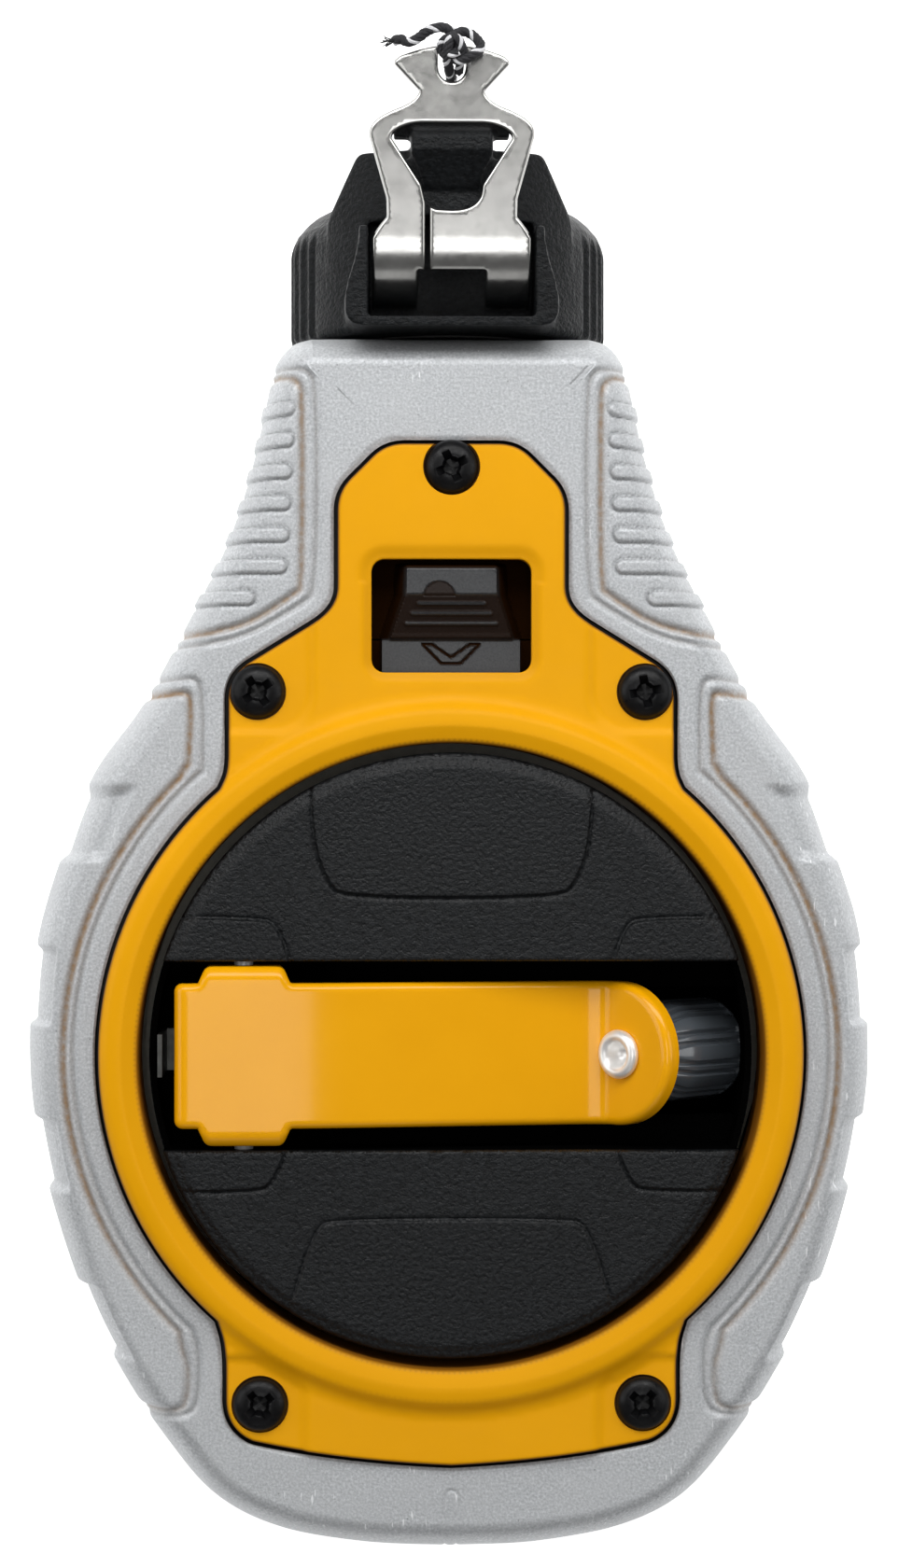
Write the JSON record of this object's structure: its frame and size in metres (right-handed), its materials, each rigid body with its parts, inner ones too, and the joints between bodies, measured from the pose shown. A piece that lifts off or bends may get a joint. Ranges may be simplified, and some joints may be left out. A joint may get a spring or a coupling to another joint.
{
  "type": "chalk line reel",
  "caption": "Hand-held chalk line reel: teardrop cast case, screwed front cover, fold-out crank driving a geared line spool, sliding lock, twist-off nose cap and end hook.",
  "frame": {"origin": "where the crank and spool axis meets the flat back of the case", "axes": "+Z out of the front cover along the crank axis, +Y towards the nose cap and hook, +X to the right seen from the front; the reel lies on its back"},
  "size_m": [0.1122, 0.2002, 0.0584],
  "materials": {
    "cast_case": "fine textured silver powder coat on a die casting",
    "yellow_plastic": "satin yellow moulding",
    "yellow_paint": "glossy yellow enamel on pressed steel",
    "black_plastic": "fine spark-textured black moulding",
    "cap_plastic": "coarse-textured black moulding",
    "grey_plastic": "satin dark grey moulding",
    "gloss_black": "polished black moulding",
    "black_screw": "black oxide",
    "plain_steel": "zinc-plated",
    "bright_rivet": "bright rolled rivet",
    "stainless": "tumbled and polished stainless sheet",
    "nylon": "natural nylon",
    "rubber": "moulded rubber",
    "felt": "pressed felt",
    "braided_line": "black braided line with a white tracer"
  },
  "bodies": {
    "case": {"case_shell": "cast_case", "front_cover": "yellow_plastic", "cover_screw_1": "black_screw", "cover_screw_2": "black_screw", "cover_screw_3": "black_screw", "cover_screw_4": "black_screw", "cover_screw_5": "black_screw", "bearing_plate": "nylon", "plate_screw_1": "plain_steel", "plate_screw_2": "plain_steel", "plate_screw_3": "plain_steel", "plate_screw_4": "plain_steel", "spool_axle": "plain_steel", "planet_pin_1": "plain_steel", "planet_pin_2": "plain_steel", "planet_pin_3": "plain_steel", "gear_seal_ring": "felt", "neck_seal": "rubber", "slider_guide": "black_plastic", "slider_detent_spring": "plain_steel", "line_inner_run": "braided_line", "crank_washer": "plain_steel", "crank_screw": "black_screw"},
    "crank": {"crank_disc": "black_plastic", "crank_tray": "black_plastic", "crank_skirt": "black_plastic", "crank_ring_gear": "nylon", "gear_screw_1": "plain_steel", "gear_screw_2": "plain_steel", "gear_screw_3": "plain_steel", "arm_hinge_pin": "plain_steel", "arm_detent_spring": "plain_steel"},
    "arm": {"crank_arm": "yellow_paint", "knob_rivet": "bright_rivet"},
    "knob": {"crank_knob": "gloss_black"},
    "slider": {"lock_slider": "grey_plastic"},
    "spool": {"line_spool": "grey_plastic", "sun_pinion": "plain_steel", "line_winding": "braided_line"},
    "planet_1": {"planet_gear_1": "nylon"},
    "planet_2": {"planet_gear_2": "nylon"},
    "planet_3": {"planet_gear_3": "nylon"},
    "cap": {"nose_cap": "cap_plastic", "felt_wiper": "felt", "line_eyelet": "plain_steel", "line_outer_run": "braided_line"},
    "hook": {"line_hook": "stainless", "line_knot": "braided_line", "line_tail": "braided_line"}
  },
  "joints": [
    {"name": "crank_spin", "type": "hinge", "parent": "case", "child": "crank", "pos_m": [0, 0, 0.044], "axis": [0, 0, 1], "continuous": true},
    {"name": "arm_fold", "type": "hinge", "parent": "crank", "child": "arm", "pos_m": [-0.0273, 0, 0.0495], "axis": [0, -1, 0], "range_deg": [0, 136]},
    {"name": "knob_spin", "type": "hinge", "parent": "arm", "child": "knob", "pos_m": [0.0223, 0, 0.05052], "axis": [-0.6947, 0, 0.7193], "continuous": true},
    {"name": "lock_slide", "type": "slide", "parent": "case", "child": "slider", "axis": [0, -1, 0], "range_m": [0, 0.0048]},
    {"name": "spool_spin", "type": "hinge", "parent": "case", "child": "spool", "pos_m": [0, 0, 0.0116], "axis": [0, 0, 1], "continuous": true},
    {"name": "planet_1_spin", "type": "hinge", "parent": "case", "child": "planet_1", "pos_m": [0, 0.018, 0.0248], "axis": [0, 0, 1], "continuous": true},
    {"name": "planet_2_spin", "type": "hinge", "parent": "case", "child": "planet_2", "pos_m": [-0.01559, -0.009, 0.0248], "axis": [0, 0, 1], "continuous": true},
    {"name": "planet_3_spin", "type": "hinge", "parent": "case", "child": "planet_3", "pos_m": [0.01559, -0.009, 0.0248], "axis": [0, 0, 1], "continuous": true},
    {"name": "cap_twist", "type": "hinge", "parent": "case", "child": "cap", "pos_m": [0, 0.1, 0.0285], "axis": [0, 1, 0], "range_deg": [0, 60]},
    {"name": "hook_swing", "type": "hinge", "parent": "cap", "child": "hook", "pos_m": [0, 0.1289, 0.0546], "axis": [-1, 0, 0], "range_deg": [0, 100]}
  ],
  "couplings": [
    {"joint": "spool_spin", "follows": "crank_spin", "ratio": -5},
    {"joint": "planet_1_spin", "follows": "crank_spin", "ratio": 2.5},
    {"joint": "planet_2_spin", "follows": "crank_spin", "ratio": 2.5},
    {"joint": "planet_3_spin", "follows": "crank_spin", "ratio": 2.5}
  ]
}
